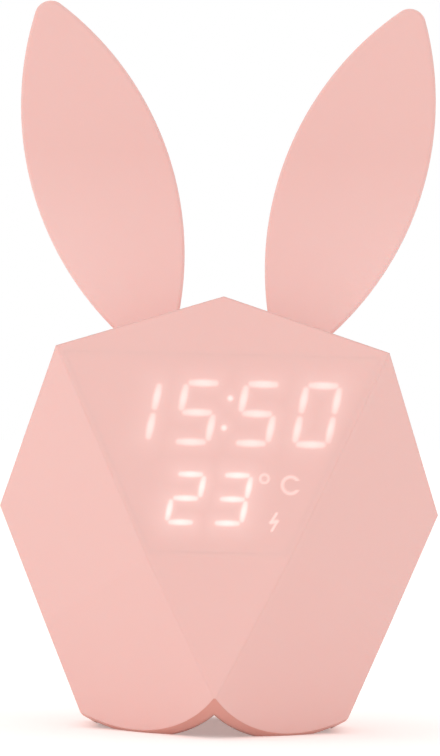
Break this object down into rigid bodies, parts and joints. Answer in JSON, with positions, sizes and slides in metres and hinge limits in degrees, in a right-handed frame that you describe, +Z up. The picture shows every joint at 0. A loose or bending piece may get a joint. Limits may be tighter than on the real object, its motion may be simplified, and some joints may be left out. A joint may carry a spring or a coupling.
{
  "type": "alarm clock",
  "caption": "Faceted bedside alarm clock with two leaf-shaped ears, hidden lit digits, night light, rear push keys and a rear slide switch.",
  "frame": {"origin": "on the table under the middle of the body, on the parting plane of the two shells", "axes": "+Z up, front face with the digits towards -Y, +X to the viewer's right when looking at the front"},
  "size_m": [0.106, 0.0932, 0.1778],
  "materials": {
    "shell_pink": "soft satin, slightly translucent",
    "key_white": "satin",
    "screw_steel": "zinc plated",
    "foam": "adhesive foam",
    "battery_wrap": "silver laminate",
    "board_green": "solder mask",
    "lamp_white": "clear resin",
    "film_milky": "frosted",
    "mask_white": "moulded reflector",
    "switch_black": "moulded",
    "plunger_black": "moulded",
    "socket_steel": "nickel plated",
    "gasket_rubber": "foam ring",
    "speaker_steel": "painted",
    "cone_paper": "pressed film",
    "magnet_steel": "nickel plated"
  },
  "bodies": {
    "root": {"front_shell": "shell_pink", "rear_shell": "shell_pink", "left_ear": "shell_pink", "right_ear": "shell_pink", "bottom_cover": "shell_pink", "shell_screws": "screw_steel", "bottom_screws": "screw_steel", "light_board_screws": "screw_steel", "display_screws": "screw_steel", "main_board_screws": "screw_steel", "speaker_screws": "screw_steel", "battery_pad": "foam", "battery_pack": "battery_wrap", "light_board": "board_green", "display_board": "board_green", "main_board": "board_green", "light_lamps": "lamp_white", "segment_lamps": "lamp_white", "diffuser_film": "film_milky", "segment_mask": "mask_white", "time_set_switch": "switch_black", "down_switch": "switch_black", "up_switch": "switch_black", "light_switch": "switch_black", "power_switch_case": "switch_black", "socket_tongue": "switch_black", "socket_sleeve": "socket_steel", "speaker_gasket": "gasket_rubber", "speaker_basket": "speaker_steel", "speaker_clamp": "speaker_steel", "speaker_cone": "cone_paper", "speaker_magnet": "magnet_steel"},
    "time_set_key": {"time_set_key": "key_white", "time_set_plunger": "plunger_black"},
    "down_key": {"down_key": "key_white", "down_plunger": "plunger_black"},
    "up_key": {"up_key": "key_white", "up_plunger": "plunger_black"},
    "light_key": {"light_key": "key_white", "light_plunger": "plunger_black"},
    "power_knob": {"power_knob": "key_white"}
  },
  "joints": [
    {"name": "time_set_press", "type": "slide", "parent": "root", "child": "time_set_key", "axis": [0, -1, 0], "range_m": [0, 0.0008], "stiffness_N_per_m": 1500},
    {"name": "down_press", "type": "slide", "parent": "root", "child": "down_key", "axis": [0, -1, 0], "range_m": [0, 0.0008], "stiffness_N_per_m": 1500},
    {"name": "up_press", "type": "slide", "parent": "root", "child": "up_key", "axis": [0, -1, 0], "range_m": [0, 0.0008], "stiffness_N_per_m": 1500},
    {"name": "light_press", "type": "slide", "parent": "root", "child": "light_key", "axis": [0, -1, 0], "range_m": [0, 0.0008], "stiffness_N_per_m": 1500},
    {"name": "power_slide", "type": "slide", "parent": "root", "child": "power_knob", "axis": [1, 0, 0], "range_m": [0, 0.002]}
  ]
}
